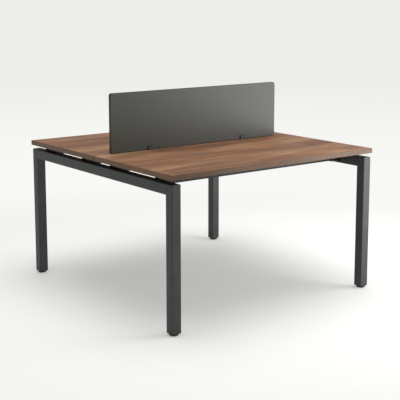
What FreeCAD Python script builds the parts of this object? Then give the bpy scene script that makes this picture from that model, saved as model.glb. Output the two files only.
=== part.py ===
import FreeCAD, Part
import math
import os
import Sketcher

# Back-to-back office bench for two people: worktops that float on rails between two tubular end frames,
# with a low screen clamped along the seam.
#
# X runs along the desk, Y across it and Z up. The origin is on the floor, under the middle of the desk.
# Left and right are -X and +X, front and rear are -Y and +Y. Lengths are in millimetres.

SIZES = {
    # whole desk
    "desk_height": 750,
    "top_length": 1284,
    "worktop_depth": 665,
    "worktop_seam": 4,
    "top_thickness": 25,
    "edging_thickness": 2,
    "edging_round": 1.2,
    # end frames of square tube
    "end_overhang": 5,
    "side_overhang": 4.5,
    "tube_size": 50,
    "tube_wall": 2,
    "tube_round": 4,
    "top_float": 21,
    # plugs in the open ends of the legs
    "plug_flange": 2,
    "plug_depth": 26,
    "plug_fit": 0.15,
    "plug_skirt": 2.5,
    "plug_clip": 2,
    "plug_boss": 18,
    "plug_rib": 2.5,
    # levelling feet
    "pad_diameter": 48,
    "pad_height": 9.5,
    "pad_rim": 6.5,
    "pad_belly": 42,
    "pad_belly_rise": 3,
    "pad_sole": 28,
    "stud_diameter": 10,
    "stud_socket": 5,
    "stud_socket_fit": 0.1,
    "stud_bore_fit": 0.3,
    "collar_height": 2.5,
    "collar_flats": 17,
    "level_travel": 20,
    # rails along the desk
    "rail_width": 30,
    "rail_height": 55,
    "rail_wall": 2,
    "rail_round": 3,
    "rail_near_inset": 200,
    "rail_far_inset": 70,
    "rail_end_gap": 1,
    # cradles that carry the rail ends
    "cradle_sheet": 3,
    "cradle_length": 60,
    "cradle_cheek": 30,
    "cradle_side_gap": 0.3,
    "cradle_bend": 1.5,
    "cradle_corner": 10,
    "plate_wing": 9,
    "plate_margin": 1,
    "plate_corner": 4,
    # bolts up through the cradles, and nuts inside the rails
    "bolt_diameter": 8,
    "bolt_fit": 0.2,
    "bolt_edge": 26,
    "bolt_head": 5.3,
    "bolt_flats": 13,
    "bolt_tail": 2.5,
    "nut_height": 6.5,
    # screws that hold the worktops down, and the windows below them
    "fixing_inset": 123,
    "screw_diameter": 6,
    "screw_fit": 0.1,
    "screw_bite": 17,
    "screw_tip_gap": 1,
    "screw_head": 4,
    "screw_flats": 10,
    "window_size": 16,
    # centre screen
    "screen_inset": 98,
    "screen_height": 302,
    "screen_thickness": 18,
    "screen_lift": 3.5,
    "screen_corner": 12,
    "screen_edging": 1,
    "screen_arris": 0.4,
    # screen brackets and their screws
    "bracket_offset": 307,
    "bracket_width": 28,
    "bracket_rise": 26,
    "bracket_fit": 0.2,
    "ear_length": 15,
    "ear_height": 4,
    "ear_corner": 5,
    "cheek_root": 6,
    "cheek_tip": 4,
    "cheek_corner": 4,
    "wood_screw_diameter": 4,
    "wood_screw_fit": 0.25,
    "wood_screw_length": 20,
    "wood_screw_edge": 7,
    "wood_screw_flare": 1.9,
    "clamp_screw_diameter": 6,
    "clamp_screw_fit": 0.15,
    "clamp_screw_drop": 9,
    "clamp_socket_flats": 3,
    "clamp_socket_depth": 2,
    # how far a cut runs past the face that it opens
    "overrun": 5,
}

# Two places closer than this count as one.
SAME_PLACE = 0.001

# Heights above the floor
TOP_UNDERSIDE = "(sizes.desk_height - sizes.top_thickness)"
BAR_TOP = f"({TOP_UNDERSIDE} - sizes.top_float)"
BAR_AXIS = f"({BAR_TOP} - sizes.tube_size / 2)"
FOOT_HEIGHT = "(sizes.pad_height + sizes.collar_height)"
LEG_FOOT = f"({FOOT_HEIGHT} + sizes.plug_flange)"
RAIL_AXIS = f"({TOP_UNDERSIDE} - sizes.rail_height / 2)"
RAIL_SEAT = f"({TOP_UNDERSIDE} - sizes.rail_height)"
CLAMP_RISE = "(sizes.bracket_rise - sizes.clamp_screw_drop)"

# Places along the desk
FRAME_X = "(sizes.top_length / 2 - sizes.end_overhang)"
LEG_X = f"({FRAME_X} - sizes.tube_size / 2)"
BAR_INNER_X = f"({FRAME_X} - sizes.tube_size)"
RAIL_HALF = f"({BAR_INNER_X} - sizes.cradle_sheet - sizes.rail_end_gap)"
BOLT_INSET = "(sizes.cradle_length - sizes.bolt_edge)"
BOLT_X = f"({BAR_INNER_X} - {BOLT_INSET})"
FIXING_X = f"({RAIL_HALF} - sizes.fixing_inset)"
SCREEN_HALF = "(sizes.top_length / 2 - sizes.screen_inset)"

# Places across the desk, and across one worktop from its middle
WORKTOP_PITCH = "(sizes.worktop_depth + sizes.worktop_seam)"
WORKTOP_Y = f"({WORKTOP_PITCH} / 2)"
FRAME_Y = f"({WORKTOP_Y} + sizes.worktop_depth / 2 - sizes.side_overhang)"
LEG_Y = f"({FRAME_Y} - sizes.tube_size / 2)"
NEAR_RAIL = "(sizes.rail_near_inset - sizes.worktop_depth / 2)"
FAR_RAIL = "(sizes.worktop_depth / 2 - sizes.rail_far_inset)"
RAIL_PITCH = f"({FAR_RAIL} - {NEAR_RAIL})"
RAILS = {
    "front_outer": f"({NEAR_RAIL} - {WORKTOP_Y})",
    "front_inner": f"({FAR_RAIL} - {WORKTOP_Y})",
    "rear_inner": f"({NEAR_RAIL} + {WORKTOP_Y})",
    "rear_outer": f"({FAR_RAIL} + {WORKTOP_Y})",
}

# Half widths and holes that two or more pieces share
CRADLE_INSIDE = "(sizes.rail_width / 2 + sizes.cradle_side_gap)"
CRADLE_OUTSIDE = f"({CRADLE_INSIDE} + sizes.cradle_sheet)"
BRACKET_INSIDE = "(sizes.screen_thickness / 2 + sizes.bracket_fit)"
CHEEK_FOOT = f"({BRACKET_INSIDE} + sizes.cheek_root)"
EAR_SCREW_X = "(sizes.bracket_width / 2 - sizes.wood_screw_edge)"
EAR_SCREW_Y = f"({CHEEK_FOOT} + sizes.ear_length / 2)"
STUD_BORE = "(sizes.stud_diameter + 2 * sizes.stud_bore_fit)"
BOLT_HOLE = "(sizes.bolt_diameter + 2 * sizes.bolt_fit)"
SCREW_HOLE = "(sizes.screw_diameter + 2 * sizes.screw_fit)"
WOOD_SCREW_HOLE = "(sizes.wood_screw_diameter + 2 * sizes.wood_screw_fit)"
CLAMP_HOLE = "(sizes.clamp_screw_diameter + 2 * sizes.clamp_screw_fit)"

# Rectangular tubes by their width, height, wall and outer corner
FRAME_TUBE = ("tube_size", "tube_size", "tube_wall", "tube_round")
RAIL_TUBE = ("rail_width", "rail_height", "rail_wall", "rail_round")

# Repeats along the body's axes, each by its axis, spacing and count
PAIR_COUNT = 2
FIXINGS = (f"-{FIXING_X}", "0", FIXING_X)
RAIL_ROWS = [("Y", RAIL_PITCH, PAIR_COUNT), ("Y", WORKTOP_PITCH, PAIR_COUNT)]
BOLT_GRID = [("X", f"2 * {BOLT_X}", PAIR_COUNT)] + RAIL_ROWS
FIXING_GRID = [("X", FIXING_X, len(FIXINGS))] + RAIL_ROWS
BRACKET_PAIR = [("X", "2 * sizes.bracket_offset", PAIR_COUNT)]

doc = FreeCAD.newDocument("bench_desk")
sizes = doc.addObject("Spreadsheet::Sheet", "sizes")
for row, (alias, number) in enumerate(SIZES.items(), start=1):
    sizes.set(f"A{row}", alias)
    sizes.set(f"B{row}", str(number))
    sizes.setAlias(f"B{row}", alias)
doc.recompute()
pieces = []


def piece(label, x="0", y="0", z="0", turn=0):
    """A new body, placed by three expressions and turned about Z by whole degrees."""
    body = doc.addObject("PartDesign::Body", label)
    body.Label = label
    body.Placement = FreeCAD.Placement(FreeCAD.Vector(), FreeCAD.Rotation(turn, 0, 0))
    for axis, place in zip("xyz", (x, y, z)):
        body.setExpression(f".Placement.Base.{axis}", place)
    pieces.append(body)
    return body


def datum(body, role):
    return next(part for part in body.Origin.OriginFeatures if part.Role == role)


def sketch_on(body, plane, lift="0"):
    """A sketch on one of the body's own planes, lifted along the plane's normal."""
    sketch = body.newObject("Sketcher::SketchObject", f"{body.Name}_sketch")
    sketch.AttachmentSupport = [(datum(body, f"{plane}_Plane"), "")]
    sketch.MapMode = "FlatFace"
    sketch.setExpression(".AttachmentOffset.Base.z", lift)
    return sketch


def bind(sketch, constraint, expression):
    """Adds a dimension to the sketch and ties it to an expression."""
    number = sketch.addConstraint(constraint)
    name = f"size_{number}"
    sketch.renameConstraint(number, name)
    sketch.setExpression(f"Constraints.{name}", expression)


def outline(sketch, corners):
    """A closed outline of straight sides through corners, each an (x, y) pair of expressions."""
    first = sketch.GeometryCount
    count = len(corners)
    turns = [2 * math.pi * step / count for step in range(count)]
    start = [FreeCAD.Vector(math.cos(turn), math.sin(turn), 0) for turn in turns]
    for step in range(count):
        sketch.addGeometry(Part.LineSegment(start[step], start[(step + 1) % count]), False)
    for step in range(count):
        following = first + (step + 1) % count
        sketch.addConstraint(Sketcher.Constraint("Coincident", first + step, 2, following, 1))
    for step, (x, y) in enumerate(corners):
        bind(sketch, Sketcher.Constraint("DistanceX", -1, 1, first + step, 1, start[step].x), x)
        bind(sketch, Sketcher.Constraint("DistanceY", -1, 1, first + step, 1, start[step].y), y)


def rectangle(sketch, low, high):
    outline(sketch, [low, (high[0], low[1]), high, (low[0], high[1])])


def centred(sketch, width, height):
    rectangle(sketch, (f"-{width} / 2", f"-{height} / 2"), (f"{width} / 2", f"{height} / 2"))


def hexagon(sketch, flats):
    side = f"{flats} / 2"
    point = f"{flats} / sqrt(3)"
    outline(sketch, [
        (side, f"{point} / 2"), ("0", point), (f"-{side}", f"{point} / 2"),
        (f"-{side}", f"-{point} / 2"), ("0", f"-{point}"), (side, f"-{point} / 2"),
    ])


def circle(sketch, x, y, diameter):
    unit = Part.Circle(FreeCAD.Vector(), FreeCAD.Vector(0, 0, 1), 1)
    number = sketch.addGeometry(unit, False)
    bind(sketch, Sketcher.Constraint("Diameter", number, 2 * unit.Radius), diameter)
    bind(sketch, Sketcher.Constraint("DistanceX", -1, 1, number, 3, 0), x)
    bind(sketch, Sketcher.Constraint("DistanceY", -1, 1, number, 3, 0), y)


def pad(body, sketch, length, side="One side", back=False):
    feature = body.newObject("PartDesign::Pad", f"{body.Name}_pad")
    feature.Profile = sketch
    feature.SideType = side
    feature.Reversed = back
    feature.setExpression("Length", length)
    return feature


def pocket(body, sketch, depth=None, side="One side", back=False):
    """A cut from the sketch, through everything when no depth is given."""
    doc.recompute()
    before = body.Tip.Shape.Volume
    feature = body.newObject("PartDesign::Pocket", f"{body.Name}_pocket")
    feature.Profile = sketch
    feature.SideType = side
    feature.Reversed = back
    if depth is None:
        feature.Type = "ThroughAll"
    else:
        feature.setExpression("Length", depth)
    doc.recompute()
    if not feature.Shape.Volume < before:
        raise RuntimeError(f"a cut in {body.Label} takes nothing away")
    return feature


def revolve(body, sketch):
    """A full turn of the sketch about its own upright axis."""
    feature = body.newObject("PartDesign::Revolution", f"{body.Name}_revolution")
    feature.Profile = sketch
    feature.ReferenceAxis = (sketch, ["V_Axis"])
    return feature


def repeat(body, features, steps):
    grid = body.newObject("PartDesign::MultiTransform", f"{body.Name}_grid")
    grid.Originals = features
    lines = []
    for axis, spacing, count in steps:
        line = body.newObject("PartDesign::LinearPattern", f"{body.Name}_line")
        line.Direction = (datum(body, f"{axis}_Axis"), [""])
        line.Mode = "Spacing"
        line.setExpression("Offset", spacing)
        line.Occurrences = count
        lines.append(line)
    grid.Transformations = lines
    body.Tip = grid


def dress(body, kind, size, value, chosen):
    """A fillet or chamfer along every edge of the body that chosen picks."""
    doc.recompute()
    base = body.Tip
    names = [f"Edge{number}" for number, edge in enumerate(base.Shape.Edges, start=1) if chosen(edge)]
    feature = body.newObject(f"PartDesign::{kind}", f"{body.Name}_{kind.lower()}")
    feature.Base = (base, names)
    feature.setExpression(size, value)


def fillet(body, radius, chosen):
    dress(body, "Fillet", "Radius", radius, chosen)


def chamfer(body, size, chosen):
    dress(body, "Chamfer", "Size", size, chosen)


def near(first, second):
    return abs(first - second) < SAME_PLACE


def edges_along(axis, **places):
    """Picks straight edges along one axis at the given places on the others, on either side of zero."""
    def chosen(edge):
        box = edge.BoundBox
        spans = {"x": box.XLength, "y": box.YLength, "z": box.ZLength}
        straight = all(near(span, 0) for name, span in spans.items() if name != axis)
        middle = {"x": box.Center.x, "y": box.Center.y, "z": box.Center.z}
        return straight and all(near(abs(middle[name]), abs(place)) for name, place in places.items())
    return chosen


def hollow_section(body, plane, section, length, side):
    """Rectangular tube with rounded corners, standing on the plane or evenly about it."""
    width, height, wall, corner = (f"sizes.{name}" for name in section)
    across, up = (sizes.get(name) for name in section[:2])
    profile = sketch_on(body, plane)
    centred(profile, width, height)
    centred(profile, f"({width} - 2 * {wall})", f"({height} - 2 * {wall})")
    pad(body, profile, length, side)
    along = next(axis for axis in "xyz" if axis.upper() not in plane)
    first, second = plane.lower()
    fillet(body, corner, edges_along(along, **{first: across / 2, second: up / 2}))


def leg(label, x, y, turn):
    """Square tube, mitred at the top to meet the crossbar; the mitre faces local +Y."""
    body = piece(label, x, y, LEG_FOOT, turn)
    length = f"({BAR_TOP} - {LEG_FOOT})"
    half = "sizes.tube_size / 2"
    hollow_section(body, "XY", FRAME_TUBE, length, "One side")
    mitre = sketch_on(body, "YZ")
    outline(mitre, [
        (f"-{half} - sizes.overrun", f"{length} + sizes.overrun"),
        (f"{half} + sizes.overrun", f"{length} - sizes.tube_size - sizes.overrun"),
        (f"{half} + sizes.overrun", f"{length} + sizes.overrun"),
    ])
    pocket(body, mitre, side="Symmetric")


def crossbar(label, x):
    """Square tube across the top of an end frame, mitred at both ends."""
    body = piece(label, x, z=BAR_AXIS)
    half = "sizes.tube_size / 2"
    hollow_section(body, "XZ", FRAME_TUBE, f"2 * {FRAME_Y}", "Symmetric")
    mitres = sketch_on(body, "YZ")
    for sign in ("", "-"):
        outline(mitres, [
            (f"{sign}({FRAME_Y} + sizes.overrun)", f"{half} + sizes.overrun"),
            (f"{sign}({FRAME_Y} - sizes.tube_size - sizes.overrun)", f"-{half} - sizes.overrun"),
            (f"{sign}({FRAME_Y} + sizes.overrun)", f"-{half} - sizes.overrun"),
        ])
    pocket(body, mitres, side="Symmetric")


def leg_plug(label, x, y):
    """Moulded insert: a flange under the tube, a hollow skirt inside it and a ribbed boss for the stud."""
    body = piece(label, x, y, FOOT_HEIGHT)
    skirt = "(sizes.tube_size - 2 * sizes.tube_wall - 2 * sizes.plug_fit)"
    skirt_half = sizes.tube_size / 2 - sizes.tube_wall - sizes.plug_fit
    inside = f"({skirt} - 2 * sizes.plug_skirt)"
    flange = sketch_on(body, "XY")
    centred(flange, "sizes.tube_size", "sizes.tube_size")
    pad(body, flange, "sizes.plug_flange")
    fillet(body, "sizes.tube_round", edges_along("z"))
    wall = sketch_on(body, "XY", "sizes.plug_flange")
    centred(wall, skirt, skirt)
    centred(wall, inside, inside)
    pad(body, wall, "sizes.plug_depth")
    chamfer(body, "sizes.plug_clip", edges_along("z", x=skirt_half, y=skirt_half))
    boss = sketch_on(body, "XY", "sizes.plug_flange")
    circle(boss, "0", "0", "sizes.plug_boss")
    pad(body, boss, "sizes.plug_depth")
    rib = "sizes.plug_rib / 2"
    arm = f"{inside} / 2"
    ribs = sketch_on(body, "XY", "sizes.plug_flange")
    outline(ribs, [
        (rib, rib), (rib, arm), (f"-{rib}", arm), (f"-{rib}", rib),
        (f"-{arm}", rib), (f"-{arm}", f"-{rib}"), (f"-{rib}", f"-{rib}"), (f"-{rib}", f"-{arm}"),
        (rib, f"-{arm}"), (rib, f"-{rib}"), (arm, f"-{rib}"), (arm, rib),
    ])
    pad(body, ribs, "sizes.plug_depth")
    bore = sketch_on(body, "XY")
    circle(bore, "0", "0", STUD_BORE)
    pocket(body, bore, back=True)


def foot_pad(label, x, y):
    """Bowl-shaped glide with a blind socket for the stud."""
    body = piece(label, x, y)
    rim = "sizes.pad_diameter / 2"
    socket = "sizes.stud_diameter / 2 + sizes.stud_socket_fit"
    floor = "sizes.pad_height - sizes.stud_socket"
    profile = sketch_on(body, "XZ")
    outline(profile, [
        ("0", "0"), ("sizes.pad_sole / 2", "0"), ("sizes.pad_belly / 2", "sizes.pad_belly_rise"),
        (rim, "sizes.pad_rim"), (rim, "sizes.pad_height"), (socket, "sizes.pad_height"),
        (socket, floor), ("0", floor),
    ])
    revolve(body, profile)


def foot_stud(label, x, y):
    """Stud with a hexagon collar, screwed home against the plug; it stays in the bore at full travel."""
    body = piece(label, x, y, "sizes.pad_height")
    radius = "sizes.stud_diameter / 2"
    tip = "(sizes.collar_height + sizes.plug_flange + sizes.plug_depth + sizes.level_travel)"
    profile = sketch_on(body, "XZ")
    outline(profile, [
        ("0", "-sizes.stud_socket"), (radius, "-sizes.stud_socket"), (radius, tip), ("0", tip),
    ])
    revolve(body, profile)
    collar = sketch_on(body, "XY")
    hexagon(collar, "sizes.collar_flats")
    pad(body, collar, "sizes.collar_height")


def rail(label, y):
    """Rectangular tube: screw holes above, and windows for the driver and two bolt holes below."""
    body = piece(label, "0", y, RAIL_AXIS)
    hollow_section(body, "YZ", RAIL_TUBE, f"2 * {RAIL_HALF}", "Symmetric")
    above, below = sketch_on(body, "XY"), sketch_on(body, "XY")
    half = "sizes.window_size / 2"
    for place in FIXINGS:
        circle(above, place, "0", SCREW_HOLE)
        rectangle(below, (f"{place} - {half}", f"-{half}"), (f"{place} + {half}", half))
    for sign in ("", "-"):
        circle(below, f"{sign}{BOLT_X}", "0", BOLT_HOLE)
    pocket(body, above, back=True)
    pocket(body, below)


def cradle(label, x, y, turn):
    """Bent sheet trough on a back plate; local +X leads away from the crossbar, and z is zero at its seat."""
    body = piece(label, x, y, RAIL_SEAT, turn)
    plate = sketch_on(body, "YZ")
    wing = f"({CRADLE_OUTSIDE} + sizes.plate_wing)"
    middle = f"({BAR_AXIS} - {RAIL_SEAT})"
    rise = "(sizes.tube_size / 2 - sizes.tube_round - sizes.plate_margin)"
    rectangle(plate, (f"-{wing}", f"{middle} - {rise}"), (wing, f"{middle} + {rise}"))
    pad(body, plate, "sizes.cradle_sheet")
    chamfer(body, "sizes.plate_corner", edges_along("x"))
    trough = sketch_on(body, "YZ")
    low, high = "-sizes.cradle_sheet", "sizes.cradle_cheek"
    outline(trough, [
        (f"-{CRADLE_OUTSIDE}", low), (CRADLE_OUTSIDE, low), (CRADLE_OUTSIDE, high), (CRADLE_INSIDE, high),
        (CRADLE_INSIDE, "0"), (f"-{CRADLE_INSIDE}", "0"), (f"-{CRADLE_INSIDE}", high),
        (f"-{CRADLE_OUTSIDE}", high),
    ])
    pad(body, trough, "sizes.cradle_length")
    inside = sizes.rail_width / 2 + sizes.cradle_side_gap
    outside = inside + sizes.cradle_sheet
    fillet(body, "sizes.cradle_bend + sizes.cradle_sheet", edges_along("x", y=outside, z=sizes.cradle_sheet))
    fillet(body, "sizes.cradle_bend", edges_along("x", y=inside, z=0))
    chamfer(body, "sizes.cradle_corner", edges_along("y", x=sizes.cradle_length, z=sizes.cradle_cheek))
    bolt = sketch_on(body, "XY")
    circle(bolt, BOLT_INSET, "0", BOLT_HOLE)
    pocket(body, bolt)


def rail_bolts(label):
    """Hexagon bolts up through the cradles and the rails' lower walls."""
    body = piece(label, f"-{BOLT_X}", RAILS["front_outer"], RAIL_SEAT)
    head = sketch_on(body, "XY", "-sizes.cradle_sheet")
    hexagon(head, "sizes.bolt_flats")
    hexagon_head = pad(body, head, "sizes.bolt_head", back=True)
    shank = sketch_on(body, "XY", "-sizes.cradle_sheet")
    circle(shank, "0", "0", "sizes.bolt_diameter")
    rod = pad(body, shank, "sizes.cradle_sheet + sizes.rail_wall + sizes.nut_height + sizes.bolt_tail")
    repeat(body, [hexagon_head, rod], BOLT_GRID)


def rail_nuts(label):
    """Hexagon nuts on the bolts, inside the rails."""
    body = piece(label, f"-{BOLT_X}", RAILS["front_outer"], RAIL_SEAT)
    profile = sketch_on(body, "XY", "sizes.rail_wall")
    hexagon(profile, "sizes.bolt_flats")
    circle(profile, "0", "0", BOLT_HOLE)
    nut = pad(body, profile, "sizes.nut_height")
    repeat(body, [nut], BOLT_GRID)


def worktop(label, y, pilots):
    """Faced board with blind screw holes below, and pilot holes for the brackets above if asked."""
    body = piece(label, "0", y, TOP_UNDERSIDE)
    board = sketch_on(body, "XY")
    centred(
        board, "(sizes.top_length - 2 * sizes.edging_thickness)",
        "(sizes.worktop_depth - 2 * sizes.edging_thickness)",
    )
    pad(body, board, "sizes.top_thickness")
    holes = sketch_on(body, "XY")
    for x in FIXINGS:
        for rail_y in (NEAR_RAIL, FAR_RAIL):
            circle(holes, x, rail_y, SCREW_HOLE)
    pocket(body, holes, "sizes.screw_bite + sizes.screw_tip_gap", back=True)
    if pilots:
        bracket_holes = sketch_on(body, "XY", "sizes.top_thickness")
        seam_y = f"{EAR_SCREW_Y} - {WORKTOP_Y}"
        for x in ("sizes.bracket_offset", "-sizes.bracket_offset"):
            for sign in ("+", "-"):
                circle(bracket_holes, f"{x} {sign} {EAR_SCREW_X}", seam_y, WOOD_SCREW_HOLE)
        pocket(body, bracket_holes, "sizes.wood_screw_length - sizes.ear_height")


def edging(label, x, y, turn, length):
    """Edge strip whose rounded outer face is local -Y."""
    body = piece(label, x, y, TOP_UNDERSIDE, turn)
    profile = sketch_on(body, "YZ")
    rectangle(profile, ("0", "0"), ("sizes.edging_thickness", "sizes.top_thickness"))
    pad(body, profile, length, "Symmetric")
    fillet(body, "sizes.edging_round", edges_along("x", y=0))


def worktop_screws(label):
    """Hexagon-headed wood screws whose heads sit inside the rails."""
    body = piece(label, f"-{FIXING_X}", RAILS["front_outer"], f"{TOP_UNDERSIDE} - sizes.rail_wall")
    head = sketch_on(body, "XY")
    hexagon(head, "sizes.screw_flats")
    hexagon_head = pad(body, head, "sizes.screw_head", back=True)
    shank = sketch_on(body, "XY")
    circle(shank, "0", "0", "sizes.screw_diameter")
    rod = pad(body, shank, "sizes.rail_wall + sizes.screw_bite")
    repeat(body, [hexagon_head, rod], FIXING_GRID)


def screen_outline(sketch, inset):
    far = f"{SCREEN_HALF} - {inset}"
    rectangle(sketch, (f"-({far})", inset), (far, f"sizes.screen_height - {inset}"))


def screen_panel(label):
    """Faced board of the screen, inside its edging."""
    body = piece(label, z="sizes.desk_height + sizes.screen_lift")
    profile = sketch_on(body, "XZ")
    screen_outline(profile, "sizes.screen_edging")
    pad(body, profile, "sizes.screen_thickness", "Symmetric")
    top = sizes.screen_height - sizes.screen_edging
    fillet(body, "sizes.screen_corner - sizes.screen_edging", edges_along("y", z=top))


def screen_edging(label):
    """Thin band round the screen board, with its outer arrises broken."""
    body = piece(label, z="sizes.desk_height + sizes.screen_lift")
    profile = sketch_on(body, "XZ")
    screen_outline(profile, "0")
    screen_outline(profile, "sizes.screen_edging")
    pad(body, profile, "sizes.screen_thickness", "Symmetric")
    fillet(body, "sizes.screen_corner", edges_along("y", z=sizes.screen_height))
    inner_top = sizes.screen_height - sizes.screen_edging
    fillet(body, "sizes.screen_corner - sizes.screen_edging", edges_along("y", z=inner_top))
    end = sizes.top_length / 2 - sizes.screen_inset

    def outer_arris(edge):
        box = edge.BoundBox
        at_end = near(abs(box.XMin), end) or near(abs(box.XMax), end)
        at_height = near(box.ZMin, 0) or near(box.ZMax, sizes.screen_height)
        return near(box.YLength, 0) and (at_end or at_height)

    chamfer(body, "sizes.screen_arris", outer_arris)


def screen_bracket(label, x):
    """Cast shoe over the seam: tapered cheeks for the screen, and an ear screwed down behind it."""
    body = piece(label, x, z="sizes.desk_height")
    ear, rise, seat = "sizes.ear_height", "sizes.bracket_rise", "sizes.screen_lift"
    reach = f"({CHEEK_FOOT} + sizes.ear_length)"
    tip = f"({BRACKET_INSIDE} + sizes.cheek_tip)"
    profile = sketch_on(body, "YZ")
    outline(profile, [
        (f"-{CHEEK_FOOT}", "0"), (reach, "0"), (reach, ear), (CHEEK_FOOT, ear), (tip, rise),
        (BRACKET_INSIDE, rise), (BRACKET_INSIDE, seat), (f"-{BRACKET_INSIDE}", seat),
        (f"-{BRACKET_INSIDE}", rise), (f"-{tip}", rise),
    ])
    pad(body, profile, "sizes.bracket_width", "Symmetric")
    fillet(body, "sizes.ear_corner", edges_along("z", z=sizes.ear_height / 2))
    fillet(body, "sizes.cheek_corner", edges_along("y", z=sizes.bracket_rise))
    holes = sketch_on(body, "XY", ear)
    for sign in ("", "-"):
        circle(holes, f"{sign}{EAR_SCREW_X}", EAR_SCREW_Y, WOOD_SCREW_HOLE)
    pocket(body, holes)
    hole_size = sizes.wood_screw_diameter + 2 * sizes.wood_screw_fit

    def hole_mouth(edge):
        box = edge.BoundBox
        return near(box.XLength, hole_size) and near(box.ZMin, sizes.ear_height) and near(box.ZLength, 0)

    chamfer(body, "sizes.wood_screw_flare", hole_mouth)
    clamp = sketch_on(body, "XZ")
    circle(clamp, "0", CLAMP_RISE, CLAMP_HOLE)
    pocket(body, clamp)


def bracket_screws(label):
    """Countersunk wood screws, two through each ear."""
    place = (f"-sizes.bracket_offset - {EAR_SCREW_X}", EAR_SCREW_Y, "sizes.desk_height + sizes.ear_height")
    body = piece(label, *place)
    radius = "sizes.wood_screw_diameter / 2"
    profile = sketch_on(body, "XZ")
    outline(profile, [
        ("0", "-sizes.wood_screw_length"), (radius, "-sizes.wood_screw_length"),
        (radius, "-sizes.wood_screw_flare"), (f"{radius} + sizes.wood_screw_flare", "0"), ("0", "0"),
    ])
    screw = revolve(body, profile)
    repeat(body, [screw], BRACKET_PAIR + [("X", f"2 * {EAR_SCREW_X}", PAIR_COUNT)])


def clamp_screws(label):
    """Grub screws through the rear cheeks, tight against the screen."""
    height = f"sizes.desk_height + {CLAMP_RISE}"
    body = piece(label, "-sizes.bracket_offset", "sizes.screen_thickness / 2", height)
    length = "(sizes.bracket_fit + sizes.cheek_tip)"
    rod = sketch_on(body, "XZ")
    circle(rod, "0", "0", "sizes.clamp_screw_diameter")
    grub = pad(body, rod, length, back=True)
    recess = sketch_on(body, "XZ", f"-{length}")
    hexagon(recess, "sizes.clamp_socket_flats")
    socket = pocket(body, recess, "sizes.clamp_socket_depth", back=True)
    repeat(body, [grub, socket], BRACKET_PAIR)


# End frames and feet, each corner by its signs along X and Y and its turn
CORNERS = {
    "front_left": ("-", "-", 0),
    "front_right": ("", "-", 0),
    "rear_left": ("-", "", 180),
    "rear_right": ("", "", 180),
}
for corner, (x_sign, y_sign, turn) in CORNERS.items():
    place = (f"{x_sign}{LEG_X}", f"{y_sign}{LEG_Y}")
    leg(f"{corner}_leg", *place, turn)
    leg_plug(f"{corner}_leg_plug", *place)
    foot_pad(f"{corner}_foot_pad", *place)
    foot_stud(f"{corner}_foot_stud", *place)
for end, x_sign in (("left", "-"), ("right", "")):
    crossbar(f"{end}_crossbar", f"{x_sign}{LEG_X}")

# Rails in their cradles
for name, rail_y in RAILS.items():
    rail(f"{name}_rail", rail_y)
    cradle(f"{name}_left_cradle", f"-{BAR_INNER_X}", rail_y, 0)
    cradle(f"{name}_right_cradle", BAR_INNER_X, rail_y, 180)
rail_bolts("rail_bolts")
rail_nuts("rail_nuts")

# Worktops with their edging
HALF_LENGTH = "sizes.top_length / 2"
HALF_DEPTH = "sizes.worktop_depth / 2"
END_STRIP = "(sizes.worktop_depth - 2 * sizes.edging_thickness)"
for name, y_sign in (("front", "-"), ("rear", "")):
    middle = f"{y_sign}{WORKTOP_Y}"
    worktop(f"{name}_worktop", middle, pilots=name == "rear")
    edging(f"{name}_worktop_front_edging", "0", f"{middle} - {HALF_DEPTH}", 0, "sizes.top_length")
    edging(f"{name}_worktop_rear_edging", "0", f"{middle} + {HALF_DEPTH}", 180, "sizes.top_length")
    edging(f"{name}_worktop_left_edging", f"-{HALF_LENGTH}", middle, -90, END_STRIP)
    edging(f"{name}_worktop_right_edging", HALF_LENGTH, middle, 90, END_STRIP)
worktop_screws("worktop_screws")

# Centre screen
screen_panel("screen_panel")
screen_edging("screen_edging")
for end, x_sign in (("left", "-"), ("right", "")):
    screen_bracket(f"{end}_screen_bracket", f"{x_sign}sizes.bracket_offset")
bracket_screws("screen_bracket_screws")
clamp_screws("screen_clamp_screws")

doc.recompute()
for item in doc.Objects:
    if "Invalid" in item.State or "Error" in item.State:
        raise RuntimeError(f"{item.Label} failed: {item.State}")
for body in pieces:
    if body.Shape.isNull() or not body.Shape.isValid():
        raise RuntimeError(f"{body.Label} has no valid shape")

os.makedirs("parts", exist_ok=True)
for body in pieces:
    body.Shape.exportStep(f"parts/{body.Label}.step")
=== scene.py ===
import bpy
import math
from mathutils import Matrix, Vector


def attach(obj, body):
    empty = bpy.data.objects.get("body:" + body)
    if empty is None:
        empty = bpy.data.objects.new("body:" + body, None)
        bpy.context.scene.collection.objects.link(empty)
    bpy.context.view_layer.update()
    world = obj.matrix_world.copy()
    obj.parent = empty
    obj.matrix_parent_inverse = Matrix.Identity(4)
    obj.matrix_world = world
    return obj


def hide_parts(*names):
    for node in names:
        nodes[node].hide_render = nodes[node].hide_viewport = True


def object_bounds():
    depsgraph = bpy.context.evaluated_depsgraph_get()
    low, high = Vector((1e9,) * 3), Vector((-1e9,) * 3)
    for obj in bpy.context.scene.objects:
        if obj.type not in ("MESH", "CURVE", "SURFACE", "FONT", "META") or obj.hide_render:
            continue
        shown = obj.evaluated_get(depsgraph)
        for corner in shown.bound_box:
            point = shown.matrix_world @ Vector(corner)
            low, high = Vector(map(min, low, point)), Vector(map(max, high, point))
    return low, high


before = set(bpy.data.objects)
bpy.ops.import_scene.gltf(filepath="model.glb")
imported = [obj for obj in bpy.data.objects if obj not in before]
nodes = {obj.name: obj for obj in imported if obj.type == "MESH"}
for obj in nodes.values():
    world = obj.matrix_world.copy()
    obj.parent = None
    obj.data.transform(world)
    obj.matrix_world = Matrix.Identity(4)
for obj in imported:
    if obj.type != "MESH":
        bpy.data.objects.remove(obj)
cad_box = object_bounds()

# Back-to-back office bench: walnut-print worktops, anthracite tube frames and a grey screen on the seam.
# X runs along the desk and along the wood grain, Y across it and Z up. Lengths are in metres.
MM = 0.001


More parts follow.
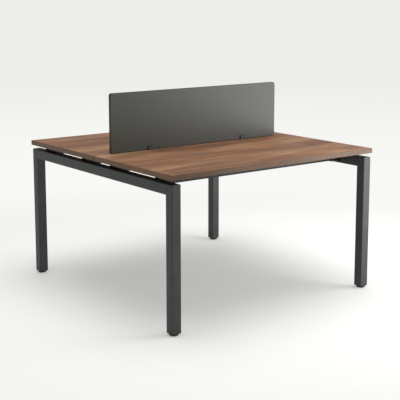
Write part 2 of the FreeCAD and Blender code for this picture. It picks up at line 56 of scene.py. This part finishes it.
def linear(colour):
    """A linear RGBA colour from an sRGB hex value."""
    channels = [int(colour[place:place + 2], 16) / 255 for place in (0, 2, 4)]
    return [c / 12.92 if c <= 0.04045 else ((c + 0.055) / 1.055) ** 2.4 for c in channels] + [1]


def repeats(length):
    """How many times a pattern repeats in a metre, from its size in millimetres."""
    return 1 / (length * MM)


def add(tree, kind, inputs=None, stops=None, **settings):
    """Adds a node; each input is a value or another node's output, and stops fill a colour ramp."""
    node = tree.nodes.new(kind)
    for name, value in settings.items():
        setattr(node, name, value)
    for name, value in (inputs or {}).items():
        if isinstance(value, bpy.types.NodeSocket):
            tree.links.new(value, node.inputs[name])
        else:
            node.inputs[name].default_value = value
    for number, (place, colour) in enumerate(stops or []):
        ramp = node.color_ramp.elements
        stop = ramp[number] if number < 2 else ramp.new(place)
        stop.position = place
        stop.color = linear(colour)
    return node


def new_material(name):
    """An empty node material, and the Object coordinates that its patterns read."""
    material = bpy.data.materials.new(name)
    material.use_nodes = True
    tree = material.node_tree
    tree.nodes.clear()
    place = add(tree, "ShaderNodeTexCoord").outputs["Object"]
    return material, tree, place


def surface(tree, shader):
    """Joins a shader to its material's output."""
    add(tree, "ShaderNodeOutputMaterial", {"Surface": shader.outputs[0]})


# Sockets of the Mix node when it mixes colours
MIX_A, MIX_B, MIX_RESULT = 6, 7, 2

# Tones of the walnut print from its darkest fibres to its palest, on the boards and on the edge band
BOARD_TONES = ("573925", "6E4A34", "835B3F", "976F51", "AF8768")
# The edge band's tones are the board's made darker: painted shade on the upright edges
SHADED_BAND_TONES = ("412A18", "4D321D", "5B3E24", "67472B", "745336")
HEARTWOOD, PORE_TONE = "6C5344", "4A3228"

# Tones painted on the boards' undersides: painted shade, dark brown, that keeps the gap below the worktop
# dark
UNDERSIDE_SHADE_TONES = ("422817", "56351F")

# Staves of the print: length and width in millimetres, and where on the pattern the boards begin
STAVE_LENGTH, STAVE_WIDTH = 1100, 133
BOARD_START = (1.86, 10.243)

# Noises of the print: length and width in millimetres, place, detail, roughness and distortion. The pores
# are drawn longer and wider than real ones, so that they show.
PRINT_NOISES = {
    "cloud": (360, 56, (8.5, 11.5, 0), 4, 0.62, 0.4),
    "heart": (460, 74, (3.1, 1.7, 0), 2, 0.5, 0.4),
    "fibre": (240, 9, (0, 0, 0), 5, 0.6, 0.25),
    "pore": (26, 1.1, (0, 0, 0), 2, 0.5, 0),
}

# How much each of them counts towards the tone, and how much painted light adds at the front right
STAVE_WEIGHT, CLOUD_WEIGHT, FIBRE_WEIGHT, PAINTED_LIGHT_WEIGHT = 0.30, 0.75, 0.5, 0.14

# Painted light: the print grows paler towards the front edge and towards the right end, where the light from
# the right falls, from one place to the other
PAINTED_LIGHT_Y = (-0.40, -0.62)
PAINTED_LIGHT_X = (-0.25, 0.35)


def walnut_laminate(name, tones, sheen, along="X", start=(0.0, 0.0), shaded_underside=False):
    """Walnut-print melamine, pressed on board under a satin plate.

    The eye sees staves of tan and brown with greyer heartwood, long fibres along the board, and short dark
    pores.
    The print is also painted paler at the front right, as painted light. The film is flat, so the print shows
    far more than any relief. Underneath, the board is painted dark brown: painted shade that keeps the gap
    below it dark.
    """
    material, tree, place = new_material(name)
    turn = math.pi / 2 if along == "Y" else 0
    grain = add(tree, "ShaderNodeMapping", {
        "Vector": place, "Location": (*start, 0), "Rotation": (0, 0, turn),
    }).outputs["Vector"]
    stave = add(tree, "ShaderNodeTexBrick", {
        "Vector": grain, "Color1": (0, 0, 0, 1), "Color2": (1, 1, 1, 1), "Scale": 1,
        "Mortar Size": 0, "Brick Width": STAVE_LENGTH * MM, "Row Height": STAVE_WIDTH * MM,
    }, offset=0.37, offset_frequency=3, squash=0.7, squash_frequency=2).outputs["Color"]
    noises = {}
    for part, (length, width, shift, detail, roughness, distortion) in PRINT_NOISES.items():
        stretched = add(tree, "ShaderNodeMapping", {
            "Vector": grain, "Location": shift, "Scale": (repeats(length), repeats(width), repeats(width)),
        }).outputs["Vector"]
        noises[part] = add(tree, "ShaderNodeTexNoise", {
            "Vector": stretched, "Scale": 1,
            "Detail": detail, "Roughness": roughness, "Distortion": distortion,
        }).outputs["Fac"]

    # Tone of the print: staves, clouds and fibres, and painted light that makes it paler at the front right
    across = add(tree, "ShaderNodeSeparateXYZ", {"Vector": place})
    # Painted light: paler towards the front edge, and more so towards the right end
    to_edge = add(tree, "ShaderNodeMapRange", {
        "Value": across.outputs["Y"], "From Min": PAINTED_LIGHT_Y[0], "From Max": PAINTED_LIGHT_Y[1],
    }, interpolation_type="SMOOTHSTEP").outputs["Result"]
    to_end = add(tree, "ShaderNodeMapRange", {
        "Value": across.outputs["X"], "From Min": PAINTED_LIGHT_X[0], "From Max": PAINTED_LIGHT_X[1],
        "To Min": 0, "To Max": PAINTED_LIGHT_WEIGHT,
    }, interpolation_type="SMOOTHSTEP").outputs["Result"]
    tone = add(tree, "ShaderNodeMath", {0: stave, 1: STAVE_WEIGHT}, operation="MULTIPLY").outputs[0]
    layers = [(noises["cloud"], CLOUD_WEIGHT), (noises["fibre"], FIBRE_WEIGHT), (to_edge, to_end)]
    for layer, weight in layers:
        tone = add(tree, "ShaderNodeMath", {
            0: layer, 1: weight, 2: tone,
        }, operation="MULTIPLY_ADD").outputs[0]
    spread = add(tree, "ShaderNodeMapRange", {
        "Value": tone, "From Min": 0.42, "From Max": 1.05,
    }).outputs["Result"]
    darkest, dark, middle, pale, palest = tones
    colour = add(tree, "ShaderNodeValToRGB", {"Fac": spread}, stops=[
        (0.0, darkest), (1.0, palest), (0.28, dark), (0.52, middle), (0.76, pale),
    ]).outputs["Color"]

    # Heartwood and pores are laid over it
    for noise, low, high, over in (("heart", 0.47, 0.66, HEARTWOOD), ("pore", 0.55, 0.68, PORE_TONE)):
        mask = add(tree, "ShaderNodeMapRange", {
            "Value": noises[noise], "From Min": low, "From Max": high, "To Min": 0, "To Max": 0.6,
        }).outputs["Result"]
        colour = add(tree, "ShaderNodeMix", {
            "Factor": mask, MIX_A: colour, MIX_B: linear(over),
        }, data_type="RGBA").outputs[MIX_RESULT]
    # Painted shade: faces that look down are coloured dark brown, so the gap below the board stays dark
    if shaded_underside:
        facing = add(tree, "ShaderNodeNewGeometry").outputs["Normal"]
        upward = add(tree, "ShaderNodeSeparateXYZ", {"Vector": facing}).outputs["Z"]
        underneath = add(tree, "ShaderNodeMapRange", {
            "Value": upward, "From Min": -0.5, "From Max": -0.9,
        }).outputs["Result"]
        shade, paper = UNDERSIDE_SHADE_TONES
        underside_shade = add(tree, "ShaderNodeValToRGB", {"Fac": noises["fibre"]}, stops=[
            (0.3, shade), (0.7, paper),
        ]).outputs["Color"]
        colour = add(tree, "ShaderNodeMix", {
            "Factor": underneath, MIX_A: colour, MIX_B: underside_shade,
        }, data_type="RGBA").outputs[MIX_RESULT]

    # A film with more sheen is smoother too
    smoothest = 0.775 - 1.28 * sheen
    gloss = add(tree, "ShaderNodeMapRange", {
        "Value": noises["fibre"], "From Min": 0.3, "From Max": 0.7,
        "To Min": smoothest, "To Max": smoothest + 0.1,
    }).outputs["Result"]
    relief = add(tree, "ShaderNodeBump", {
        "Height": noises["pore"], "Strength": 0.12, "Distance": 0.1 * MM,
    }).outputs["Normal"]
    surface(tree, add(tree, "ShaderNodeBsdfPrincipled", {
        "Base Color": colour, "Roughness": gloss, "Normal": relief, "IOR": 1.5, "Specular IOR Level": sheen,
    }))
    return material


def powder_coat(name, colour, shade, roughness):
    """Polyester powder baked on steel: a fine pebbled skin that breaks up the highlight on flat tube.

    The pebbles are drawn coarser than real ones, so that they show.
    """
    material, tree, place = new_material(name)
    pebble = add(tree, "ShaderNodeTexNoise", {
        "Vector": place, "Scale": repeats(1.4), "Detail": 3, "Roughness": 0.6,
    }).outputs["Fac"]
    drift = add(tree, "ShaderNodeTexNoise", {
        "Vector": place, "Scale": repeats(70), "Detail": 2,
    }).outputs["Fac"]
    speckle = add(tree, "ShaderNodeMath", {0: pebble, 1: 0.6, 2: drift}, operation="MULTIPLY_ADD")
    tone = add(tree, "ShaderNodeValToRGB", {"Fac": speckle.outputs[0]}, stops=[
        (0.55, shade), (1.0, colour),
    ]).outputs["Color"]
    gloss = add(tree, "ShaderNodeMapRange", {
        "Value": pebble, "From Min": 0.3, "From Max": 0.7,
        "To Min": roughness - 0.06, "To Max": roughness + 0.06,
    }).outputs["Result"]
    relief = add(tree, "ShaderNodeBump", {
        "Height": pebble, "Strength": 0.18, "Distance": 0.15 * MM,
    }).outputs["Normal"]
    surface(tree, add(tree, "ShaderNodeBsdfPrincipled", {
        "Base Color": tone, "Roughness": gloss, "Normal": relief, "IOR": 1.5, "Specular IOR Level": 0.31,
    }))
    return material


def grey_melamine(name, colour, shade):
    """Plain grey melamine on board: smooth and satin, with a faint pearl mottle, so it mirrors soft light."""
    material, tree, place = new_material(name)
    mottle = add(tree, "ShaderNodeTexNoise", {
        "Vector": place, "Scale": repeats(2.2), "Detail": 4, "Roughness": 0.65,
    }).outputs["Fac"]
    tone = add(tree, "ShaderNodeValToRGB", {"Fac": mottle}, stops=[
        (0.35, shade), (0.65, colour),
    ]).outputs["Color"]
    gloss = add(tree, "ShaderNodeMapRange", {
        "Value": mottle, "From Min": 0.3, "From Max": 0.7, "To Min": 0.39, "To Max": 0.47,
    }).outputs["Result"]
    relief = add(tree, "ShaderNodeBump", {
        "Height": mottle, "Strength": 0.06, "Distance": 0.1 * MM,
    }).outputs["Normal"]
    surface(tree, add(tree, "ShaderNodeBsdfPrincipled", {
        "Base Color": tone, "Roughness": gloss, "Normal": relief, "IOR": 1.5, "Specular IOR Level": 0.36,
    }))
    return material


def moulded_plastic(name, colour, shade):
    """Injection-moulded plastic from a spark-eroded mould: a matt, even grain with dull highlights.

    The grain is drawn coarser than a real one, so that it shows.
    """
    material, tree, place = new_material(name)
    grain = add(tree, "ShaderNodeTexVoronoi", {
        "Vector": place, "Scale": repeats(0.7),
    }, feature="SMOOTH_F1").outputs["Distance"]
    tone = add(tree, "ShaderNodeValToRGB", {"Fac": grain}, stops=[
        (0.2, shade), (0.8, colour),
    ]).outputs["Color"]
    relief = add(tree, "ShaderNodeBump", {
        "Height": grain, "Strength": 0.2, "Distance": 0.08 * MM,
    }).outputs["Normal"]
    surface(tree, add(tree, "ShaderNodeBsdfPrincipled", {
        "Base Color": tone, "Roughness": 0.5, "Normal": relief, "IOR": 1.49,
    }))
    return material


def bright_metal(name, colour, shade, roughness):
    """Zinc plate on steel: a clouded sheen that is sharper in some spots than in others."""
    material, tree, place = new_material(name)
    cloud = add(tree, "ShaderNodeTexNoise", {
        "Vector": place, "Scale": repeats(4), "Detail": 4, "Roughness": 0.6,
    }).outputs["Fac"]
    tone = add(tree, "ShaderNodeValToRGB", {"Fac": cloud}, stops=[
        (0.3, shade), (0.7, colour),
    ]).outputs["Color"]
    gloss = add(tree, "ShaderNodeMapRange", {
        "Value": cloud, "From Min": 0.3, "From Max": 0.7,
        "To Min": roughness - 0.08, "To Max": roughness + 0.08,
    }).outputs["Result"]
    surface(tree, add(tree, "ShaderNodeBsdfPrincipled", {
        "Base Color": tone, "Roughness": gloss, "Metallic": 1,
    }))
    return material


# Finishes of the solids, by the ends of their names
ZINC = bright_metal("zinc_plated_steel", "C3C5C2", "A9ABA8", 0.34)
NYLON = moulded_plastic("black_nylon", "222322", "1A1B1A")
RAIL_PAINT = powder_coat("black_powder_coat", "1C1E1D", "151716", 0.5)
FINISHES = [
    (("worktop",), walnut_laminate("walnut_laminate", BOARD_TONES, 0.25, start=BOARD_START, shaded_underside=True)),
    # The edge bands take the darker tones, as painted shade
    (("front_edging", "rear_edging"), walnut_laminate("walnut_edge_band", SHADED_BAND_TONES, 0.3)),
    (("left_edging", "right_edging"), walnut_laminate("walnut_end_band", SHADED_BAND_TONES, 0.33, along="Y")),
    (("_leg", "crossbar"), powder_coat("anthracite_powder_coat", "3B403E", "313634", 0.46)),
    (("_rail", "cradle"), RAIL_PAINT),
    (("screen_panel",), grey_melamine("grey_melamine", "4B4D46", "444640")),
    (("screen_edging",), grey_melamine("dark_grey_edging", "2B2B26", "242420")),
    (("screen_bracket",), powder_coat("bracket_powder_coat", "363733", "2C2D2A", 0.5)),
    (("plug", "foot_pad"), NYLON),
    (("stud", "bolts", "nuts", "screws"), ZINC),
]
for label, node in nodes.items():
    finish = next(material for ends, material in FINISHES if label.endswith(ends))
    node.data.materials.clear()
    node.data.materials.append(finish)


# Modelled pieces. Lengths in these are in millimetres until the mesh is made.
SMOOTH_ANGLE = math.radians(32)
THREAD_STEPS = 24


def turned(name, sides, profile):
    """A solid raised from a disc about the Z axis: each (radius, height) extrudes and scales its top."""
    (radius, height), *steps = profile
    bpy.ops.object.select_all(action="DESELECT")
    bpy.ops.mesh.primitive_circle_add(
        vertices=sides, radius=radius * MM, fill_type="NGON", location=(0, 0, height * MM))
    piece = bpy.context.object
    piece.name = name
    bpy.ops.object.transform_apply(location=True)
    bpy.ops.object.mode_set(mode="EDIT")
    bpy.ops.mesh.select_all(action="SELECT")
    for next_radius, next_height in steps:
        bpy.ops.mesh.extrude_region_move(
            TRANSFORM_OT_translate={"value": (0, 0, (next_height - height) * MM)})
        share = next_radius / radius
        bpy.ops.transform.resize(value=(share, share, 1), center_override=(0, 0, next_height * MM))
        radius, height = next_radius, next_height
    bpy.ops.mesh.select_all(action="SELECT")
    bpy.ops.mesh.normals_make_consistent(inside=False)
    bpy.ops.object.mode_set(mode="OBJECT")
    return piece


def pick(piece, kind, test):
    """Opens a piece for editing with just those of its vertices or faces selected that pass a test."""
    bpy.context.view_layer.objects.active = piece
    bpy.ops.object.mode_set(mode="EDIT")
    bpy.ops.mesh.select_mode(type=kind)
    bpy.ops.mesh.select_all(action="DESELECT")
    bpy.ops.object.mode_set(mode="OBJECT")
    elements = piece.data.vertices if kind == "VERT" else piece.data.polygons
    for element in elements:
        element.select = test(element)
    bpy.ops.object.mode_set(mode="EDIT")


def combine(piece, other, operation):
    """Cuts or trims a piece with another, which is then thrown away."""
    bpy.ops.object.select_all(action="DESELECT")
    bpy.context.view_layer.objects.active = piece
    cutter = piece.modifiers.new("trim", "BOOLEAN")
    cutter.operation = operation
    cutter.object = other
    cutter.solver = "EXACT"
    bpy.ops.object.modifier_apply(modifier=cutter.name)
    bpy.data.objects.remove(other)


def join(pieces):
    """Joins pieces into the first of them."""
    bpy.ops.object.select_all(action="DESELECT")
    for piece in pieces:
        piece.select_set(True)
    bpy.context.view_layer.objects.active = pieces[0]
    bpy.ops.object.join()
    return pieces[0]


def copy_to(piece, place):
    """A copy of a piece with its own mesh, moved by a place in millimetres."""
    bpy.ops.object.select_all(action="DESELECT")
    piece.select_set(True)
    bpy.context.view_layer.objects.active = piece
    bpy.ops.object.duplicate(linked=False)
    copy = bpy.context.object
    copy.location = [length * MM for length in place]
    bpy.ops.object.transform_apply(location=True)
    return copy


def dress(piece, name, body, finish, slot, *stands_for):
    """Names a finished piece, gives it its finish and smooth faces, and rides it on its body."""
    piece.name = name
    piece.data.name = name
    piece.data.materials.clear()
    piece.data.materials.append(finish)
    bpy.ops.object.select_all(action="DESELECT")
    piece.select_set(True)
    bpy.context.view_layer.objects.active = piece
    bpy.ops.object.shade_smooth_by_angle(angle=SMOOTH_ANGLE)
    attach(piece, body)
    if stands_for:
        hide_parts(*stands_for)


def hexagon_head(name, flats, low, high, bevel):
    """A hexagon with the turned bevels of a bolt head at both ends."""
    corner = flats / math.sqrt(3)
    head = turned(name, 6, [(corner, low), (corner, high)])
    inner = flats / 2 - 0.3
    outer = corner + 0.1
    cone = turned("cone", 48, [
        (inner, low), (outer, low + bevel), (outer, high - bevel), (inner, high),
    ])
    combine(head, cone, "INTERSECT")
    return head


def thread(name, diameter, pitch, depth, low, high):
    """A screw thread about the Z axis: one V wound up by the Screw modifier and cut square at both ends."""
    bpy.ops.object.select_all(action="DESELECT")
    bpy.ops.mesh.primitive_circle_add(
        vertices=4, radius=pitch / 2 * MM, location=(0, 0, 0), rotation=(math.pi / 2, 0, 0))
    piece = bpy.context.object
    piece.name = name
    bpy.ops.object.transform_apply(rotation=True)
    pick(piece, "VERT", lambda vertex: vertex.co.x < -pitch / 4 * MM)
    bpy.ops.mesh.delete(type="VERT")
    bpy.ops.mesh.select_all(action="SELECT")
    bpy.ops.transform.resize(value=(2 * depth / pitch, 1, 1), center_override=(0, 0, 0))
    bpy.ops.transform.translate(value=((diameter / 2 - depth) * MM, 0, (low - pitch) * MM))
    bpy.ops.object.mode_set(mode="OBJECT")
    winding = piece.modifiers.new("winding", "SCREW")
    winding.axis = "Z"
    winding.screw_offset = pitch * MM
    winding.steps = THREAD_STEPS
    winding.render_steps = THREAD_STEPS
    winding.iterations = math.ceil((high - low) / pitch) + 2
    bpy.ops.object.modifier_apply(modifier=winding.name)
    bpy.ops.object.mode_set(mode="EDIT")
    bpy.ops.mesh.select_all(action="SELECT")
    bpy.ops.mesh.remove_doubles(threshold=0.01 * MM)
    for height, below in ((low, True), (high, False)):
        bpy.ops.mesh.select_all(action="SELECT")
        bpy.ops.mesh.bisect(
            plane_co=(0, 0, height * MM), plane_no=(0, 0, 1), use_fill=True,
            clear_inner=below, clear_outer=not below)
    bpy.ops.mesh.select_all(action="SELECT")
    bpy.ops.mesh.normals_make_consistent(inside=False)
    bpy.ops.object.mode_set(mode="OBJECT")
    return piece


# Levelling feet: a moulded glide and a threaded stud with a hexagon collar, in place of the plain solids
PAD_HEIGHT, COLLAR_TOP, STUD_TIP = 9.5, 12.0, 60.0
SOCKET_FLOOR = PAD_HEIGHT - 5
COLLAR_FLATS, STUD_DIAMETER = 17, 10
FEET = {
    "front_left": (-612, -637.5), "front_right": (612, -637.5),
    "rear_left": (-612, 637.5), "rear_right": (612, 637.5),
}
GLIDE_SIDES = 72
FLUTE_LOW, FLUTE_HIGH = 7.5, 8.2
glide = turned("glide", GLIDE_SIDES, [
    (9.0, 0.8), (9.5, 0.0), (13.2, 0.0), (14.6, 0.25), (17.5, 1.2), (20.0, 2.5), (22.0, 4.1), (23.2, 5.4),
    (23.5, 5.9), (23.2, 6.1), (23.2, 6.3), (23.8, 6.5), (24.0, 6.8), (24.0, 8.8), (23.7, 9.3),
    (23.0, PAD_HEIGHT), (5.1, PAD_HEIGHT), (5.1, SOCKET_FLOOR),
])


def in_flute(face):
    """Every third face round the glide's rim."""
    around = math.degrees(math.atan2(face.center.y, face.center.x))
    number = round(around * GLIDE_SIDES / 360 - 0.5)
    return FLUTE_LOW * MM < face.center.z < FLUTE_HIGH * MM and number % 3 == 0


pick(glide, "FACE", in_flute)
bpy.ops.mesh.inset(thickness=0.2 * MM, use_individual=True)
bpy.ops.transform.shrink_fatten(value=-0.5 * MM)
bpy.ops.object.mode_set(mode="OBJECT")

stud = join([
    turned("stud", 32, [
        (4.6, SOCKET_FLOOR), (5.0, SOCKET_FLOOR + 0.4), (5.0, PAD_HEIGHT + 0.5), (4.1, PAD_HEIGHT + 1),
        (4.1, STUD_TIP - 0.8), (3.3, STUD_TIP),
    ]),
    hexagon_head("collar", COLLAR_FLATS, PAD_HEIGHT, COLLAR_TOP, 0.8),
    thread("stud_thread", STUD_DIAMETER, 1.5, 0.92, COLLAR_TOP + 0.5, STUD_TIP - 1),
])
for corner, (x, y) in FEET.items():
    body = f"{corner}_foot"
    moulded_glide = copy_to(glide, (x, y, 0))
    dress(moulded_glide, f"{corner}_moulded_glide", body, NYLON, "black_plastic", f"{corner}_foot_pad")
    threaded_stud = copy_to(stud, (x, y, 0))
    dress(threaded_stud, f"{corner}_threaded_stud", body, ZINC, "zinc_steel", f"{corner}_foot_stud")
for pattern in (glide, stud):
    bpy.data.objects.remove(pattern)

# Bolts up through the cradles: bevelled hexagon heads on threaded shanks
RAIL_LINES = (-467, -72, 202, 597)
BOLT_PLACE, CRADLE_UNDERSIDE, BOLT_TIP = 553, 667, 681
BOLT_FLATS, BOLT_DIAMETER = 13, 8
bolt = join([
    hexagon_head("bolt_head", BOLT_FLATS, CRADLE_UNDERSIDE - 5.3, CRADLE_UNDERSIDE - 0.2, 0.7),
    turned("bolt_shank", 32, [
        (5.8, CRADLE_UNDERSIDE - 0.2), (5.8, CRADLE_UNDERSIDE), (3.35, CRADLE_UNDERSIDE),
        (3.35, BOLT_TIP - 0.6), (2.7, BOLT_TIP),
    ]),
    thread("bolt_thread", BOLT_DIAMETER, 1.25, 0.65, CRADLE_UNDERSIDE + 0.2, BOLT_TIP - 0.8),
])
bolts = join([copy_to(bolt, (side * BOLT_PLACE, y, 0)) for y in RAIL_LINES for side in (-1, 1)])
dress(bolts, "hexagon_bolts", "desk", ZINC, "zinc_steel", "rail_bolts")
bpy.data.objects.remove(bolt)

# Countersunk wood screws in the bracket ears, each with a cross recess
BRACKET_PLACE, EAR_STEP, EAR_LINE = 307, 7, 22.7
EAR_SCREWS = [(side * (BRACKET_PLACE + step), EAR_LINE) for side in (-1, 1) for step in (-EAR_STEP, EAR_STEP)]
EAR_DIAMETER = 4
RECESS_MIDDLE = 753.6
RECESS_SIZE = (4.2, 0.8, 1.8)
ear_screw = join([
    turned("ear_screw", 40, [
        (0.4, 734.0), (1.35, 736.5), (1.35, 750.9), (2.0, 751.6), (3.75, 753.5), (3.85, 753.9), (3.6, 754.0),
    ]),
    thread("ear_thread", EAR_DIAMETER, 1.4, 0.6, 736.6, 750),
])
for turn in (0, math.pi / 2):
    bpy.ops.object.select_all(action="DESELECT")
    bpy.ops.mesh.primitive_cube_add(size=1, location=(0, 0, RECESS_MIDDLE * MM), rotation=(0, 0, turn))
    slot_cutter = bpy.context.object
    slot_cutter.scale = [length * MM for length in RECESS_SIZE]
    bpy.ops.object.transform_apply(rotation=True, scale=True, location=True)
    combine(ear_screw, slot_cutter, "DIFFERENCE")
ear_screws = join([copy_to(ear_screw, (x, y, 0)) for x, y in EAR_SCREWS])
dress(ear_screws, "cross_recess_screws", "desk", ZINC, "zinc_steel", "screen_bracket_screws")
bpy.data.objects.remove(ear_screw)

# Fillet welds down both sides of each cradle plate, where it meets the crossbar
PLATE_EDGE, BAR_FACE = 27.4, 586.2
WELD_LOW, WELD_STEP, WELD_RIPPLES = 666.0, 0.9, 32
WELD_RADIUS, RIPPLE_DEPTH, WELD_END = 2.0, 0.28, 0.9
ripples = [
    (WELD_RADIUS - RIPPLE_DEPTH * (number % 2), WELD_LOW + 1 + number * WELD_STEP)
    for number in range(WELD_RIPPLES)
]
weld = turned("weld", 14, [(WELD_END, WELD_LOW), *ripples, (WELD_END, ripples[-1][1] + 1)])
for row, y in zip(("front_outer", "front_inner", "rear_inner", "rear_outer"), RAIL_LINES):
    for side, sign in (("left", -1), ("right", 1)):
        beads = join([copy_to(weld, (sign * BAR_FACE, y + edge, 0)) for edge in (-PLATE_EDGE, PLATE_EDGE)])
        dress(beads, f"{row}_{side}_cradle_weld", "desk", RAIL_PAINT, "rail_paint")
bpy.data.objects.remove(weld)


# Stage: a pale floor that melts into the background as it runs away from the desk, from the first reach to
# the second. Its even light goes on changing, from the near tone to the far one, up to the floor's own reach.
SHADOW_REACH, MELT_REACH, FLOOR_REACH = 1.4, 2.8, 14.0
PAPER, NEAR_PALE, FAR_PALE = "F6F6F3", "F9F9F6", "ECEDE8"

# Share of even light in the shadow under the desk
LIFT_SHARE = 0.325


def studio_floor(name):
    """Matt seamless paper: it takes the soft shadow near the desk and is evenly lit further away."""
    material, tree, place = new_material(name)
    distance = add(tree, "ShaderNodeVectorMath", {0: place}, operation="LENGTH").outputs["Value"]
    melt = add(tree, "ShaderNodeMapRange", {
        "Value": distance, "From Min": SHADOW_REACH, "From Max": MELT_REACH, "To Min": LIFT_SHARE,
    }, interpolation_type="SMOOTHSTEP").outputs["Result"]
    far = add(tree, "ShaderNodeMapRange", {
        "Value": distance, "From Min": SHADOW_REACH, "From Max": FLOOR_REACH,
    }, interpolation_type="SMOOTHSTEP").outputs["Result"]
    pale = add(tree, "ShaderNodeMix", {
        "Factor": far, MIX_A: linear(NEAR_PALE), MIX_B: linear(FAR_PALE),
    }, data_type="RGBA").outputs[MIX_RESULT]
    ray = add(tree, "ShaderNodeLightPath")
    seen = add(tree, "ShaderNodeMath", {
        0: ray.outputs["Is Camera Ray"], 1: ray.outputs["Is Glossy Ray"],
    }, operation="MAXIMUM")
    seen = add(tree, "ShaderNodeMath", {
        0: seen.outputs[0], 1: ray.outputs["Is Transmission Ray"],
    }, operation="MAXIMUM")
    share = add(tree, "ShaderNodeMath", {0: melt, 1: seen.outputs[0]}, operation="MULTIPLY")
    paper = add(tree, "ShaderNodeBsdfDiffuse", {"Color": linear(PAPER)})
    glow = add(tree, "ShaderNodeEmission", {"Color": pale, "Strength": 1})
    surface(tree, add(tree, "ShaderNodeMixShader", {
        0: share.outputs[0], 1: paper.outputs[0], 2: glow.outputs[0],
    }))
    return material


bpy.ops.object.select_all(action="DESELECT")
bpy.ops.mesh.primitive_plane_add(size=2 * FLOOR_REACH, location=(0, 0, cad_box[0][2]))
floor = bpy.context.object
floor.name = "floor"
floor.data.materials.append(studio_floor("seamless_paper"))

# World: soft fill for the object, and the pale background for whatever sees it directly
FILL = 0.34
world = bpy.data.worlds.new("studio")
bpy.context.scene.world = world
world.use_nodes = True
sky = world.node_tree
sky.nodes.clear()
ray = add(sky, "ShaderNodeLightPath")
seen = add(sky, "ShaderNodeMath", {
    0: ray.outputs["Is Camera Ray"], 1: ray.outputs["Is Transmission Ray"],
}, operation="MAXIMUM")
fill = add(sky, "ShaderNodeBackground", {"Color": linear("FFFFFF"), "Strength": FILL})
backdrop = add(sky, "ShaderNodeBackground", {"Color": linear(FAR_PALE), "Strength": 1})
mixed = add(sky, "ShaderNodeMixShader", {0: seen.outputs[0], 1: fill.outputs[0], 2: backdrop.outputs[0]})
add(sky, "ShaderNodeOutputWorld", {"Surface": mixed.outputs[0]})

# Softboxes: place, the point that each faces, width, height and power in watts
SOFTBOXES = {
    "overhead_softbox": ((0.1, -0.1, 5.0), (0.0, 0.0, 0.6), 4.2, 4.2, 203),
    "right_softbox": ((2.0, -1.65, 0.78), (0.6, 0.1, 0.6), 1.64, 1.55, 48),
}
for name, (place, aim, width, height, power) in SOFTBOXES.items():
    lamp = bpy.data.lights.new(name, "AREA")
    lamp.shape = "RECTANGLE"
    lamp.size = width
    lamp.size_y = height
    lamp.energy = power
    light = bpy.data.objects.new(name, lamp)
    bpy.context.scene.collection.objects.link(light)
    light.location = aim
    direction = light.location.copy()
    light.location = place
    direction -= light.location
    light.rotation_euler = direction.to_track_quat("-Z", "Y").to_euler()
    light.visible_camera = False

# Camera at the photograph's viewpoint: its turn in degrees, and its lens and sensor in millimetres
CAMERA_PLACE = (-3.0248, -4.0201, 1.5247)
CAMERA_TURN = (81.134, 0.095, -36.736)
SENSOR_WIDTH, LENS_LENGTH = 36, 85.354
SHIFT_X, SHIFT_Y = 0.01761, -0.13512
lens = bpy.data.cameras.new("camera")
lens.sensor_width = SENSOR_WIDTH
lens.lens = LENS_LENGTH
lens.shift_x = SHIFT_X
lens.shift_y = SHIFT_Y
camera = bpy.data.objects.new("camera", lens)
bpy.context.scene.collection.objects.link(camera)
camera.location = CAMERA_PLACE
camera.rotation_euler = [math.radians(angle) for angle in CAMERA_TURN]
bpy.context.scene.camera = camera
bpy.context.scene.view_settings.view_transform = "Standard"
